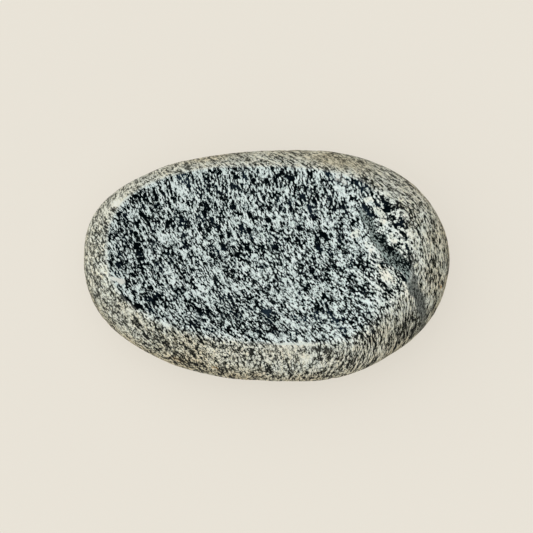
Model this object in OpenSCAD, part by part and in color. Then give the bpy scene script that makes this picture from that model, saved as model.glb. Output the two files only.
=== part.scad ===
// River stone with a polished hollow ground into its upper side.
// The whole object is one piece of rock. It lies on a flat worn or ground under it, centred on the origin,
// with its long way along X and the hollow upwards.
//
// Its surface is a loft through three ovals: the rest face underneath, the girth (the widest line) and the
// rim of the hollow. Angle t runs round each oval, and a meridian is the line over the stone at one angle.

/* [Outline] */
// Length of the stone, along X
stone_length = 110; // [96:1:150]
// Width of the stone, along Y
stone_width = 70; // [60:1:96]
// Fullness of the outline at the left-hand end, where 2 is an ellipse and more is squarer
fullness_left = 2.4; // [2:0.05:2.6]
// Fullness of the outline at the right-hand end
fullness_right = 2.05; // [2:0.05:2.6]
// Share by which the right-hand end is broader than the left
end_taper = 0.09; // [0:0.01:0.12]
// How far both ends bend towards the back
end_bow = 1.8; // [0:0.1:3]

/* [Profile] */
// Height of the rim above the rest face, before its edge is rounded
rim_height = 28; // [24:0.5:36]
// Height of the girth above the rest face, on average
girth_height = 13; // [10:0.5:15]
// How far the girth rises and falls on its way round the stone
girth_sway = 1.5; // [0:0.1:2]
// Angle round the stone at which the girth is highest, in degrees
girth_sway_angle = 35; // [-180:5:180]
// How much lower the rim is at its lowest point than at its highest
rim_drop = 1.6; // [0:0.1:3]
// Angle round the stone at which the rim is lowest, in degrees
rim_drop_angle = -30; // [-180:5:180]
// Turn of the flank from upright at the girth to its slope at the rim, in degrees
flank_turn = 66; // [50:1:75]
// How far the worn flank swells in and out of a true arc
flank_swell = 0.4; // [0:0.1:1]

/* [Hollow] */
// Width of bare skin between the hollow and the left-hand end
margin_left = 8.4; // [7:0.1:14]
// Width of bare skin between the hollow and the right-hand end
margin_right = 12.4; // [7:0.1:14]
// Width of bare skin between the hollow and the front
margin_front = 9.4; // [7:0.1:12]
// Width of bare skin between the hollow and the back
margin_back = 8.2; // [7:0.1:12]
// Depth of the hollow below its rim
hollow_depth = 6; // [4:0.5:8]
// Fullness of the rim's oval, where 2 is an ellipse and more is squarer
hollow_fullness = 2.45; // [2:0.05:2.6]
// Share by which the right-hand end of the rim is broader than the left
hollow_taper = 0.05; // [0:0.01:0.12]
// How far both ends of the rim bend towards the back
hollow_bow = 0.6; // [0:0.1:3]
// Turn of the rim's oval from the stone's long way, in degrees
hollow_turn = -1.8; // [-5:0.1:5]
// Flatness of the hollow's floor, where 2 is a parabola and more is flatter
floor_flatness = 2.6; // [2:0.1:4]
// Rounding of the rim where it is crisp, along the back and the left
rim_round = 0.8; // [0.5:0.1:2]
// Rounding of the rim where it is worn soft, at the front
rim_round_soft = 3.5; // [1:0.5:5]
// Angle round the stone at which the rim is softest, in degrees
rim_soft_angle = -75; // [-180:5:180]
// How far the rim runs out on one side of its worn corner at the front right, and in on the other
rim_wear = 1.3; // [0:0.1:2]
// Angle round the stone of that worn corner, in degrees
rim_wear_angle = -46; // [-90:1:0]

/* [Rest face] */
// Inset of the rest face from each end of the stone
rest_inset_ends = 24; // [18:1:30]
// Inset of the rest face from the front and the back
rest_inset_sides = 18; // [14:1:22]

/* [Smoothness] */
// Points round each oval
points_round = 104; // [48:4:112]
// Rings from the rest face up to the girth
lower_rings = 10; // [6:1:12]
// Rings from the girth up to the rim
upper_rings = 9; // [6:1:12]
// Rings from the rim down to the middle of the hollow
hollow_rings = 11; // [8:1:14]

/* [Hidden] */
stone_grey = [0.56, 0.58, 0.55];
rest_fullness = 2;
ring_crowding = 1.3; // above 1, the hollow's rings crowd towards its rim
rim_wear_reach = 26; // degrees round the stone over which the worn corner fades out
half_length = stone_length / 2;
half_width = stone_width / 2;
hollow_half_length = half_length - (margin_left + margin_right) / 2;
hollow_half_width = half_width - (margin_front + margin_back) / 2;
hollow_centre = [(margin_left - margin_right) / 2, (margin_front - margin_back) / 2];
turn_depth = 1 - cos(flank_turn); // share of a full quarter turn's inset that the upper flank uses
turn_rise = sin(flank_turn); // and the share of its rise

// ---- Helpers ----
function signed_power(v, p) = sign(v) * pow(abs(v), p);
// Point at angle t on an oval about the origin, whose right-hand end is broader by the taper
// and whose ends bend back by the bow.
function oval(t, half_l, half_w, fullness, taper = 0, bow = 0) =
    let (along = signed_power(cos(t), 2 / fullness), across = signed_power(sin(t), 2 / fullness))
    [half_l * along, half_w * across * (1 + taper * along) + bow * along * along];
function turned(p, angle) = [p.x * cos(angle) - p.y * sin(angle), p.x * sin(angle) + p.y * cos(angle)];
// Lower of a and b, with their meeting rounded over a difference of r.
function soft_min(a, b, r) = min(a, b) - pow(max(r - abs(a - b), 0) / r, 2) * r / 4;
// 0 at angle t and up to 1 opposite the given angle.
function away_from(t, angle) = (1 - cos(t - angle)) / 2;

// ---- The three ovals, each at angle t ----
function girth_point(t) =
    let (fullness = fullness_right + (fullness_left - fullness_right) * away_from(t, 0))
    oval(t, half_length, half_width, fullness, end_taper, end_bow);
function girth_z(t) = girth_height + girth_sway * cos(t - girth_sway_angle);
// How far the rim stands outside its oval: inside it past the worn corner, outside it before.
function wear(t) =
    let (turn = (t - rim_wear_angle + 540) % 360 - 180)
    abs(turn) < rim_wear_reach ? -rim_wear * sin(180 * turn / rim_wear_reach) : 0;
function rim_point(t) =
    let (
        straight = oval(t, hollow_half_length, hollow_half_width, hollow_fullness, hollow_taper, hollow_bow),
        o = turned(straight, hollow_turn)
    )
    hollow_centre + o * (1 + wear(t) / norm(o));
function rim_z(t) = rim_height - rim_drop * (1 - away_from(t, rim_drop_angle));
function rest_point(t) = oval(t, half_length - rest_inset_ends, half_width - rest_inset_sides, rest_fullness);

// ---- Upper side ----
// Rounding of the rim at angle t: crisp at the back, soft towards rim_soft_angle.
function rounding(t) = rim_round + (rim_round_soft - rim_round) * pow(1 - away_from(t, rim_soft_angle), 2);
// Height of the flank at share k of the way from the girth (0) to the rim (1), and on past the rim.
function flank_z(t, k) =
    let (left = min(max(1 - k * turn_depth, 0), 1))
    girth_z(t) + (rim_z(t) - girth_z(t)) * sqrt(1 - left * left) / turn_rise;
// Height of the hollow at share q of the way from its middle (0) to the rim (1), and on past the rim.
function hollow_z(t, q) =
    let (middle = rim_height - rim_drop / 2)
    middle + (rim_z(t) - middle) * q - hollow_depth * (1 - pow(q, floor_flatness));
// Point of the upper side at angle t, at distance d along the meridian from the rim:
// below 0 on the flank, above 0 in the hollow.
function upper_point(t, d) =
    let (
        rim = rim_point(t),
        outwards = girth_point(t) - rim,
        inwards = hollow_centre - rim,
        k = 1 + d / norm(outwards),
        q = max(1 - d / norm(inwards), 0),
        swell = flank_swell * sin(2 * t + 140) * sin(180 * min(k, 1)),
        xy = rim + (d < 0 ? outwards * (1 - k) : inwards * (1 - q)) + outwards / norm(outwards) * swell
    )
    [xy.x, xy.y, soft_min(flank_z(t, k), hollow_z(t, q), rounding(t))];

// ---- Underside ----
// Point of the underside at angle t, where turn is 0 at the girth and 90 at the rest face.
function lower_point(t, turn) =
    let (
        girth = girth_point(t),
        swell = flank_swell * sin(3 * t + 20) * sin(2 * turn),
        xy = girth + (rest_point(t) - girth) * (1 - cos(turn)) + girth / norm(girth) * swell
    )
    [xy.x, xy.y, girth_z(t) * (1 - sin(turn))];

// ---- The stone ----
// One meridian, from the rest face over the girth and the rim to the ring round the hollow's middle.
// Its rings crowd in a band as wide as the rounding on each side of the rim.
function meridian(t) =
    let (
        band = rounding(t),
        flank = norm(girth_point(t) - rim_point(t)) - band,
        floor = norm(hollow_centre - rim_point(t)) - band,
        flank_shares = [for (i = [0 : upper_rings]) (1 - cos(flank_turn * i / upper_rings)) / turn_depth],
        floor_shares = [for (i = [0 : hollow_rings - 1]) pow(i / hollow_rings, ring_crowding)]
    )
    concat(
        [for (i = [0 : lower_rings - 1]) lower_point(t, 90 * (1 - i / lower_rings))],
        [for (share = flank_shares) upper_point(t, -band - flank * (1 - share))],
        [for (share = [-0.5, 0, 0.5]) upper_point(t, band * share)],
        [for (share = floor_shares) upper_point(t, band + floor * share)]
    );

module stone() {
    meridians = [for (i = [0 : points_round - 1]) meridian(360 * i / points_round)];
    rings = len(meridians[0]);
    points = concat(
        [for (line = meridians) each line],
        [[hollow_centre.x, hollow_centre.y, hollow_z(0, 0)]]
    );
    middle = len(points) - 1;
    // Index of the point on meridian i, ring j
    function at(i, j) = (i % points_round) * rings + j;
    skin = [
        for (i = [0 : points_round - 1], j = [0 : rings - 2])
            each [[at(i, j), at(i, j + 1), at(i + 1, j + 1)], [at(i, j), at(i + 1, j + 1), at(i + 1, j)]]
    ];
    floor_middle = [for (i = [0 : points_round - 1]) [at(i, rings - 1), middle, at(i + 1, rings - 1)]];
    rest_face = [[for (i = [0 : points_round - 1]) at(i, 0)]];
    color(stone_grey) polyhedron(points, concat(rest_face, skin, floor_middle), convexity = 4);
}
stone();
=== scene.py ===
"""Looks of the hollowed massage stone, built round its packed construction model.

The object is one piece of speckled rock: a river-worn skin, a polished hollow in the upper side and a
flat rest face below. The sizes of its form are those of the construction model. They are in millimetres
and degrees, and the lengths become metres when the mesh is made.
"""

from __future__ import annotations

import logging
import math
from dataclasses import dataclass
from enum import Enum
from typing import Any, ClassVar

import bmesh
import bpy
import numpy as np
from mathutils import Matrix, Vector, noise

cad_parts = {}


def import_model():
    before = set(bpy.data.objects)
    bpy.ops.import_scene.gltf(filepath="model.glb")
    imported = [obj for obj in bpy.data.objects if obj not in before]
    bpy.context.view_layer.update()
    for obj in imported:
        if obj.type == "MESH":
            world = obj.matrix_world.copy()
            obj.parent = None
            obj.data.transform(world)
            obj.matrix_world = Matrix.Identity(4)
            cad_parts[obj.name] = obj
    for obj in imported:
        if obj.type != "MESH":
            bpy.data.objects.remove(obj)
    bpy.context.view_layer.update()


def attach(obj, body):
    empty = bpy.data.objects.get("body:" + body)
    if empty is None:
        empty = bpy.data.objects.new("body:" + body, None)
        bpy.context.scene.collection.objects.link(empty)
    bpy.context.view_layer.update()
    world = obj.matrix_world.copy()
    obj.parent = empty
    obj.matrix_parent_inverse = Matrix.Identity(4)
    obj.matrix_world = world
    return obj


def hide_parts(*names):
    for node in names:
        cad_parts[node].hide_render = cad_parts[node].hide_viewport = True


log = logging.getLogger("massage_stone")

MM = 0.001  # metres in a millimetre
BODY = "root"
NODE = "stone"
RIM_DISTANCE = "rim_distance"  # per point: millimetres inside the rim, below 0 outside it
POLISH_SOFTNESS = "rim_softness"  # per point: 0 where the polish ends crisply, 1 where it fades out

Socket = bpy.types.NodeSocket
Triple = tuple[float, float, float]
Colour = tuple[int, int, int]  # as a screen shows it, from 0 to 255
Wash = tuple[float, float, float]  # linear values that a colour is multiplied by
Stops = tuple[tuple[float, Colour], ...]  # the tones at which a ramp has its colours
NoiseKind = tuple[float, float, float]  # how fine a noise is, its detail and its roughness
Span = tuple[float, ...]  # a range's start and end, and what they become where that isn't 0 and 1


# ---- The stone's form ----
def signed_power(value: np.ndarray, power: float | np.ndarray) -> np.ndarray:
    """Raises the size of a value to a power and keeps its sign."""
    return np.sign(value) * np.abs(value) ** power


def cosd(angle: np.ndarray | float) -> np.ndarray:
    """Cosine of an angle in degrees."""
    return np.cos(np.radians(angle))


def sind(angle: np.ndarray | float) -> np.ndarray:
    """Sine of an angle in degrees."""
    return np.sin(np.radians(angle))


def away_from(angle: np.ndarray, start: float) -> np.ndarray:
    """Gives 0 at the start angle and up to 1 opposite it."""
    return (1 - cosd(angle - start)) / 2


def turn_from(angle: np.ndarray, start: float) -> np.ndarray:
    """Turn from the start angle, between -180 and 180."""
    return (angle - start + 540) % 360 - 180


def ease(value: np.ndarray, start: float, end: float) -> np.ndarray:
    """Smooth step from 0 at the start to 1 at the end."""
    share = np.clip((value - start) / (end - start), 0, 1)
    return share * share * (3 - 2 * share)


def length_of(vectors: np.ndarray) -> np.ndarray:
    """Length of each row."""
    return np.linalg.norm(vectors, axis=1)


def oval(
    angle: np.ndarray,
    half_length: float,
    half_width: float,
    fullness: float | np.ndarray,
    taper: float = 0.0,
    bow: float = 0.0,
) -> np.ndarray:
    """Points on an oval about the origin.

    Args:
        angle: Angles round the oval.
        half_length: Half its length, along X.
        half_width: Half its width, along Y.
        fullness: 2 for an ellipse, and more for a squarer oval.
        taper: Share by which its right-hand end is broader than its left.
        bow: How far both ends bend towards the back.

    Returns:
        One row of x and y for each angle.
    """
    along = signed_power(cosd(angle), 2 / fullness)
    across = signed_power(sind(angle), 2 / fullness)
    return np.column_stack(
        [half_length * along, half_width * across * (1 + taper * along) + bow * along**2]
    )


@dataclass(frozen=True)
class StoneForm:
    """Sizes of the stone's surface, a loft through its rest face, its girth and its hollow's rim.

    The last three say how a ball's points are shared out over the stone.
    """

    length: float = 110.0
    width: float = 70.0
    fullness_left: float = 2.4
    fullness_right: float = 2.05
    end_taper: float = 0.09
    end_bow: float = 1.8
    rim_top: float = 28.0
    girth_level: float = 13.0
    girth_sway: float = 1.5
    girth_sway_angle: float = 35.0
    rim_drop: float = 1.6
    rim_drop_angle: float = -30.0
    flank_turn: float = 66.0
    flank_swell: float = 0.4
    upper_swell_angle: float = 140.0
    lower_swell_angle: float = 20.0
    margin_left: float = 8.4
    margin_right: float = 12.4
    margin_front: float = 9.4
    margin_back: float = 8.2
    hollow_depth: float = 6.0
    hollow_fullness: float = 2.45
    hollow_taper: float = 0.05
    hollow_bow: float = 0.6
    hollow_turn: float = -1.8
    floor_flatness: float = 2.6
    rim_round: float = 0.8
    rim_round_soft: float = 3.5
    rim_soft_angle: float = -75.0
    rim_wear: float = 1.3
    rim_wear_angle: float = -46.0
    rim_wear_reach: float = 26.0
    rest_inset_ends: float = 24.0
    rest_inset_sides: float = 18.0
    rest_fullness: float = 2.0
    hollow_part: float = 0.68
    rest_part: float = 0.42
    lower_meridian: float = 20.0

    @property
    def hollow_centre(self) -> np.ndarray:
        """Middle of the hollow, as x and y."""
        return np.array([self.margin_left - self.margin_right, self.margin_front - self.margin_back]) / 2

    @property
    def turn_depth(self) -> float:
        """Share of a full quarter turn's inset that the upper flank uses."""
        return 1 - math.cos(math.radians(self.flank_turn))

    def girth(self, angle: np.ndarray) -> np.ndarray:
        """Points of the girth, the stone's widest line."""
        fullness = self.fullness_right + (self.fullness_left - self.fullness_right) * away_from(angle, 0)
        return oval(angle, self.length / 2, self.width / 2, fullness, self.end_taper, self.end_bow)

    def girth_height(self, angle: np.ndarray) -> np.ndarray:
        """Height of the girth above the rest face."""
        return self.girth_level + self.girth_sway * cosd(angle - self.girth_sway_angle)

    def rim(self, angle: np.ndarray) -> np.ndarray:
        """Points of the hollow's rim, with its worn corner.

        Args:
            angle: Angles round the stone.

        Returns:
            One row of x and y for each angle.
        """
        half_length = (self.length - self.margin_left - self.margin_right) / 2
        half_width = (self.width - self.margin_front - self.margin_back) / 2
        straight = oval(
            angle, half_length, half_width, self.hollow_fullness, self.hollow_taper, self.hollow_bow
        )
        cosine, sine = cosd(self.hollow_turn), sind(self.hollow_turn)
        turned = straight @ np.array([[cosine, sine], [-sine, cosine]])
        turn = turn_from(angle, self.rim_wear_angle)
        wear = -self.rim_wear * sind(180 * turn / self.rim_wear_reach)
        worn = np.where(np.abs(turn) < self.rim_wear_reach, wear, 0)
        return self.hollow_centre + turned * (1 + worn / length_of(turned))[:, None]

    def rim_height(self, angle: np.ndarray) -> np.ndarray:
        """Height of the rim above the rest face, before its edge is rounded."""
        return self.rim_top - self.rim_drop * (1 - away_from(angle, self.rim_drop_angle))

    def rest(self, angle: np.ndarray) -> np.ndarray:
        """Points of the rest face's outline."""
        half_length = self.length / 2 - self.rest_inset_ends
        return oval(angle, half_length, self.width / 2 - self.rest_inset_sides, self.rest_fullness)

    def softness(self, angle: np.ndarray) -> np.ndarray:
        """Softness of the rim's edge, from 0 where it is crisp to 1 where it is most worn."""
        return (1 - away_from(angle, self.rim_soft_angle)) ** 2

    def flank_height(self, angle: np.ndarray, share: np.ndarray) -> np.ndarray:
        """Gives the height of the upper flank.

        Args:
            angle: Angles round the stone.
            share: Shares of the way from the girth (0) to the rim (1), and on past it.

        Returns:
            The heights above the rest face.
        """
        left = np.clip(1 - share * self.turn_depth, 0, 1)
        rise = np.sqrt(1 - left**2) / sind(self.flank_turn)
        return self.girth_height(angle) + (self.rim_height(angle) - self.girth_height(angle)) * rise

    def hollow_height(self, angle: np.ndarray, share: np.ndarray) -> np.ndarray:
        """Gives the height of the hollow.

        Args:
            angle: Angles round the stone.
            share: Shares of the way from the hollow's middle (0) to the rim (1), and on past it.

        Returns:
            The heights above the rest face.
        """
        middle = self.rim_top - self.rim_drop / 2
        dip = self.hollow_depth * (1 - share**self.floor_flatness)
        return middle + (self.rim_height(angle) - middle) * share - dip

    def upper(self, angle: np.ndarray, inside: np.ndarray) -> np.ndarray:
        """Gives points of the upper side.

        Args:
            angle: Angles round the stone.
            inside: Distances from the rim along the meridian, below 0 on the flank.

        Returns:
            One row of x, y and z for each angle.
        """
        rim = self.rim(angle)
        outwards = self.girth(angle) - rim
        inwards = self.hollow_centre - rim
        up_flank = 1 + inside / length_of(outwards)
        up_hollow = np.maximum(1 - inside / length_of(inwards), 0)
        swell = self.flank_swell * sind(2 * angle + self.upper_swell_angle)
        swell = swell * sind(180 * np.minimum(up_flank, 1))
        on_flank = outwards * (1 - up_flank)[:, None]
        way = np.where((inside < 0)[:, None], on_flank, inwards * (1 - up_hollow)[:, None])
        across = rim + way + outwards * (swell / length_of(outwards))[:, None]
        flank, hollow = self.flank_height(angle, up_flank), self.hollow_height(angle, up_hollow)
        rounding = self.rim_round + (self.rim_round_soft - self.rim_round) * self.softness(angle)
        meeting = np.maximum(rounding - np.abs(flank - hollow), 0) / rounding
        return np.column_stack([across, np.minimum(flank, hollow) - meeting**2 * rounding / 4])

    def lower(self, angle: np.ndarray, turn: np.ndarray) -> np.ndarray:
        """Gives points of the underside.

        Args:
            angle: Angles round the stone.
            turn: Turns round the lower flank, from 0 at the girth to 90 at the rest face.

        Returns:
            One row of x, y and z for each angle.
        """
        girth = self.girth(angle)
        swell = self.flank_swell * sind(3 * angle + self.lower_swell_angle) * sind(2 * turn)
        across = girth + (self.rest(angle) - girth) * (1 - cosd(turn))[:, None]
        across = across + girth * (swell / length_of(girth))[:, None]
        return np.column_stack([across, self.girth_height(angle) * (1 - sind(turn))])

    def wrap(self, ball: np.ndarray) -> tuple[np.ndarray, np.ndarray]:
        """Lays the points of a unit ball on the stone.

        Args:
            ball: One row of x, y and z for each point of the ball.

        Returns:
            The points on the stone, and how far inside the rim each one lies, along its meridian.
        """
        angle = np.degrees(np.arctan2(ball[:, 1], ball[:, 0]))
        way = np.degrees(np.arccos(np.clip(np.abs(ball[:, 2]), 0, 1))) / 90  # from a pole to the girth
        margin = length_of(self.girth(angle) - self.rim(angle))
        reach = length_of(self.hollow_centre - self.rim(angle))
        turn = self.flank_turn * np.clip((1 - way) / (1 - self.hollow_part), 0, 1)
        on_flank = -margin * (1 - (1 - cosd(turn)) / self.turn_depth)
        inside = np.where(way < self.hollow_part, reach * (1 - way / self.hollow_part), on_flank)
        top = self.upper(angle, inside)
        under = self.lower(angle, 90 * np.clip((1 - way) / (1 - self.rest_part), 0, 1))
        under[:, :2] *= np.minimum(way / self.rest_part, 1)[:, None]
        is_top = ball[:, 2] >= 0
        below = -margin - self.lower_meridian * (1 - way)
        return np.where(is_top[:, None], top, under), np.where(is_top, inside, below)


# ---- Patches in the rock ----
class Tint(Enum):
    """What a patch does to the rock where it lies."""

    DARK = "dark"
    PALE = "pale"
    CREAM = "cream"
    PALE_GREY = "pale_grey"
    CRUST = "crust"
    NAVY = "navy"
    SLATE = "slate"
    BROWN = "brown"
    RUST = "rust"


@dataclass(frozen=True)
class Patch:
    """One patch in the rock or stain on its skin: an ellipsoid that fades out round its surface."""

    x: float
    y: float
    half_length: float
    half_width: float
    turn: float = -57.0
    strength: float = 1.0
    fade: float = 0.45
    z: float = 23.0
    half_height: float = 14.0

    def share(self, points: np.ndarray) -> np.ndarray:
        """Gives the share of the patch at each point.

        Args:
            points: One row of x, y and z for each point.

        Returns:
            The shares, from 0 outside the patch to its strength inside.
        """
        away = points - np.array([self.x, self.y, self.z])
        cosine, sine = cosd(self.turn), sind(self.turn)
        along = (away[:, 0] * cosine + away[:, 1] * sine) / self.half_length
        across = (away[:, 1] * cosine - away[:, 0] * sine) / self.half_width
        distance = np.sqrt(along**2 + across**2 + (away[:, 2] / self.half_height) ** 2)
        return self.strength * (1 - ease(distance, 1 - self.fade, 1 + self.fade))


PATCHES: dict[Tint, tuple[Patch, ...]] = {
    Tint.DARK: (
        # In the hollow: the broad soft ones, and then those in its left third
        Patch(-38, 4, 16, 11, -57, 0.07, 0.6),
        Patch(0, 2, 12, 9, -57, 0.05, 0.6),
        Patch(0, -17, 26, 6, 0, 0.04, 0.6),
        Patch(-34, 15, 5, 2.4, strength=0.26),
        Patch(-42.4, 10.2, 3.2, 2, strength=0.3),
        Patch(-38.5, 3.5, 5, 2.6, strength=0.32),
        Patch(-41.6, -4, 5, 2.2, strength=0.18),
        Patch(-45.6, -1.5, 3, 1.2, -70, 0.1),
        Patch(-40.5, -12, 5, 1.1, -42, 0.16),
        Patch(-33.4, -13, 3.4, 1.8, -62, 0.34),
        Patch(-26, 12, 3.6, 2, strength=0.24),
        Patch(-17, 13.5, 4, 1.8, -65, 0.22),
        Patch(-16, 2.5, 4, 2.2, strength=0.16),
        Patch(-28, 1, 4, 2, strength=0.14),
        # Elsewhere in the hollow
        Patch(-10, -11.5, 4, 2, strength=0.26),
        Patch(-20.5, -18, 5, 2.6, 5, 0.2),
        Patch(-1, -22, 7, 2, 0, 0.2),
        Patch(0, 13.5, 3, 1.1, -75, 0.35),
        Patch(16.5, 6, 3.6, 2, strength=0.22),
        Patch(22.5, 16, 3, 1.6, strength=0.26),
        Patch(22, -3, 5, 1.6, -50, 0.22),
        Patch(40.5, 9.5, 3.6, 1.8, -70, 0.15),
        Patch(35, 16, 4.2, 1.6, -55, 0.16),
        Patch(29, -10, 4, 1.6, -45, 0.2),
        # Along the seam of slate
        Patch(33.8, 5.4, 2.4, 0.9, -58, 0.6),
        Patch(36.6, 2, 3.4, 1.1, -50, 0.7),
        Patch(41, -2.6, 2.8, 1.2, -36, 0.7),
        Patch(34.8, -1.8, 2, 0.8, -40, 0.6),
        # On the skin
        Patch(-25, -28, 9, 3, -22, 0.23, 0.6),
        Patch(-34.8, -23.4, 1.6, 1.2, -60, 0.35),
        Patch(-50, -2, 16, 4, 86, 0.06, 0.6, 20, 12),
        Patch(-38, -21, 9, 3, -48, 0.04, 0.6),
        Patch(47, 8, 14, 4, -76, 0.03, 0.6),
        # Painted shade: darkens the front-right flank near its edge
        Patch(42, -20.5, 7, 2.8, 42, 0.42, 0.6),
        Patch(53.6, 0, 14, 1.6, 86, 0.12, 0.6, 17, 6),
        Patch(49.5, -12, 6, 1.4, 72, 0.2, 0.6, 18, 6),
        Patch(29, -27, 10, 3.5, 20, 0.1, 0.6, 20, 8),
        # On the front of the skin
        Patch(-24.2, -26.6, 1.9, 1.1, -50, 0.2),
        Patch(-18.9, -24.8, 1.7, 1, -60, 0.3),
        Patch(-7, -30.2, 1.8, 1, -60, 0.2),
        Patch(-2.8, -29.6, 1.8, 1, -65, 0.22),
        Patch(0.4, -32.4, 1.7, 1.2, -60, 0.35, z=18),
        Patch(13.5, -28.7, 1.8, 0.9, -70, 0.2),
        Patch(-11.4, -33.4, 2.6, 1, -20, 0.25, z=16),
    ),
    Tint.PALE: (
        # White clots of feldspar
        Patch(-25, 20, 2.6, 1.5, -30, 0.3),
        Patch(-18.5, 5, 2.4, 1.6, strength=0.24),
        Patch(-31, 7, 2.8, 1.6, strength=0.18),
        Patch(-15.2, -4.2, 2.4, 1.8, strength=0.22),
        Patch(-30, -5, 4.5, 1.6, 12, 0.2),
        Patch(2, 12.4, 2.3, 1.8, strength=0.34),
        Patch(8.5, 0.5, 2.8, 1.5, strength=0.26),
        # This one is a broad pale smear at the back of the hollow
        Patch(21, 22, 4.5, 2.2, -35, 0.18),
        Patch(26, 12, 3, 1.8, strength=0.12),
        Patch(6.5, -12.5, 3.6, 2, strength=0.14),
        Patch(15, -9, 4, 1.6, strength=0.1),
        Patch(33, -14, 5.5, 2, -30, 0.12),
        Patch(-44.1, 15.3, 1.6, 1.2, 60, 0.8),
        # On the skin
        Patch(-46.1, 13.6, 2.2, 1.4, 30, 0.25),
        # On the front of the skin
        Patch(-5.5, -25.9, 1.8, 1, -60, 0.25),
        Patch(3.1, -28.1, 1.9, 1.1, -60, 0.3),
        Patch(8.2, -28.2, 1.9, 1.3, -60, 0.3),
        Patch(10.8, -30.4, 1.6, 1.1, -60, 0.25),
        Patch(-16.8, -30.4, 1.8, 1.1, -50, 0.25),
        Patch(0, -28.6, 20, 4, 3, 0.03, 0.6),
    ),
    Tint.CREAM: (
        # Cream clots, and pale lines along the rim that are partly cream grain and partly a painted
        # highlight
        Patch(29.8, 17, 1.6, 1.3, 0, 0.8),
        Patch(33.6, 12.8, 3.2, 1.3, strength=0.65),
        Patch(26.4, 7.6, 1.9, 1.1, 10),
        Patch(30.6, 3, 2.8, 1.1, -60, 0.5),
        Patch(37.4, 5.6, 2.2, 1.0, -60, 0.7),
        Patch(42.4, 6.5, 3, 1.2, -40, 0.55),
        Patch(34.6, -4.8, 3.8, 1, -45, 0.9),
        Patch(45.6, -1, 6.5, 1, -72, 0.5),
        Patch(47.2, -11, 4.5, 0.8, -78, 0.5),
        Patch(40.3, -10, 3.4, 0.9, -65, 0.55),
        # Pale lines along the rim, partly a painted highlight
        Patch(7, -26.2, 6.5, 0.7, 2, 0.7),
        Patch(-46.6, 2, 5, 0.8, -86, 0.45),
        Patch(-41.5, 17.4, 5, 0.9, 48, 0.7),
    ),
    Tint.PALE_GREY: (
        # A pale grey smear at the back of the hollow, and a pale mark along the rim at its left end
        Patch(22, 23.4, 2.8, 1.6, -40, 0.4, 0.7),
        Patch(-47.1, -5.9, 2, 0.8, -50, 1, 0.35),
        Patch(-45.3, -7.3, 1.8, 0.85, -20, 1, 0.35),
        Patch(-42.9, -7.9, 2.1, 0.7, 0, 1, 0.35),
    ),
    Tint.CRUST: (
        # Pale crust on the skin
        Patch(-50, 2, 20, 5, 84, 0.1, 0.6, 20, 14),
        Patch(-42, 19, 14, 4.5, 38, 0.48, 0.6, 20, 14),
        Patch(-18, 28.5, 16, 3, 12, 0.35, 0.6, 22, 12),
        Patch(36, 25, 12, 4, -35, 0.4, 0.6, 22, 12),
        Patch(-46, -14, 12, 3.5, -62, 0.2, 0.6, 20, 14),
        Patch(8, -28.5, 14, 2.6, 4, 0.2, 0.6, 22, 12),
        Patch(19, 29, 13, 3, -11, 0.5, 0.6, 22, 12),
    ),
    Tint.NAVY: (
        # Mica, and a painted reflection that lifts the blacks to navy, mostly where the hollow turns up
        # to its rim
        Patch(-25, 23.5, 3, 1.6, -40),
        Patch(-6.5, 23.5, 2, 1.1, -70, 0.7),
        Patch(7, 17.5, 1.6, 1.1, strength=0.5),
        Patch(13, 14.8, 2, 1.2, -70, 0.5),
        Patch(18.8, 24.5, 3, 1.4, -40, 0.7),
        Patch(28.5, 21.5, 2.6, 1.5, -50, 0.6),
        Patch(29.2, 13.8, 2.6, 1.5, -50, 0.5),
        Patch(0, -16, 1.6, 1.3),
        Patch(9.6, -18, 2.8, 1, -25, 0.8),
        Patch(14.7, -17.6, 2, 1.2, strength=0.7),
        Patch(20.4, -19.5, 4, 1, -58),
        Patch(30.5, -24, 2.2, 1.2, -75),
    ),
    Tint.SLATE: (
        # The seam, across the hollow's right-hand end and on down the skin
        Patch(30.2, 10.6, 4.4, 1.4, -62, 0.85, 0.45, 20, 40),
        Patch(33, 4.8, 4.6, 1.9, -62, 0.9, 0.5, 20, 40),
        Patch(37.4, -1, 4.8, 2.5, -42, 0.95, 0.4, 20, 40),
        Patch(41, -3.8, 2.8, 2, -40, 0.85, 0.4, 20, 40),
        Patch(43, -8.8, 4.8, 1.9, -70, 1, 0.4, 15, 50),
        Patch(45.4, -14.4, 4.6, 1.6, -72, 0.95, 0.4, 15, 50),
        Patch(46.8, -19.4, 4, 1.2, -70, 0.85, 0.45, 10, 50),
    ),
    Tint.BROWN: (
        # Brown stains on the skin
        Patch(20.5, 29.8, 11, 3.6, -11, 1, 0.6, 22, 9),
        Patch(6, 32, 8, 2.4, -3, 0.5, 0.6, 20, 9),
        Patch(-17, 31, 10, 2.4, 10, 0.8, 0.6, 20, 9),
        Patch(-24, -27.5, 11, 4, -22, 0.6, 0.6, 20, 10),
        Patch(-9, -31.5, 8, 2.6, -6, 0.55, 0.6, 14, 9),
        Patch(37, -22, 8, 4, 28, 0.5, 0.6, 18, 10),
        Patch(50, 6, 7, 2, -72, 0.5, 0.6, 16, 9),
        Patch(53, 6, 18, 4, 90, 1, 0.4, 11, 8),
        Patch(49.5, 0, 15, 3.5, 88, 0.5, 0.6, 19, 8),
        Patch(44, 23, 12, 4, -50, 0.9, 0.4, 11, 8),
    ),
    Tint.RUST: (
        # Small rusty spots on the skin
        Patch(-4.7, -28.5, 1.2, 0.8, 0, 0.9, 0.5, 20, 3),
        Patch(-19, -22.6, 1.4, 0.9, 0, 0.6, 0.5, 23, 3),
        Patch(-26, -29.5, 1.5, 0.7, -20, 0.4, 0.5, 18, 3),
        Patch(-15.5, -31, 1.7, 0.9, -10, 0.7, 0.5, 16, 3),
        Patch(50.6, -7, 2.4, 1, -70, 0.8, 0.5, 17, 4),
        Patch(48.6, 11, 3.4, 1, -66, 0.45, 0.5, 17, 4),
        Patch(46, -3, 1.6, 0.7, -80, 0.6, 0.5, 21, 3),
    ),
}


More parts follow.
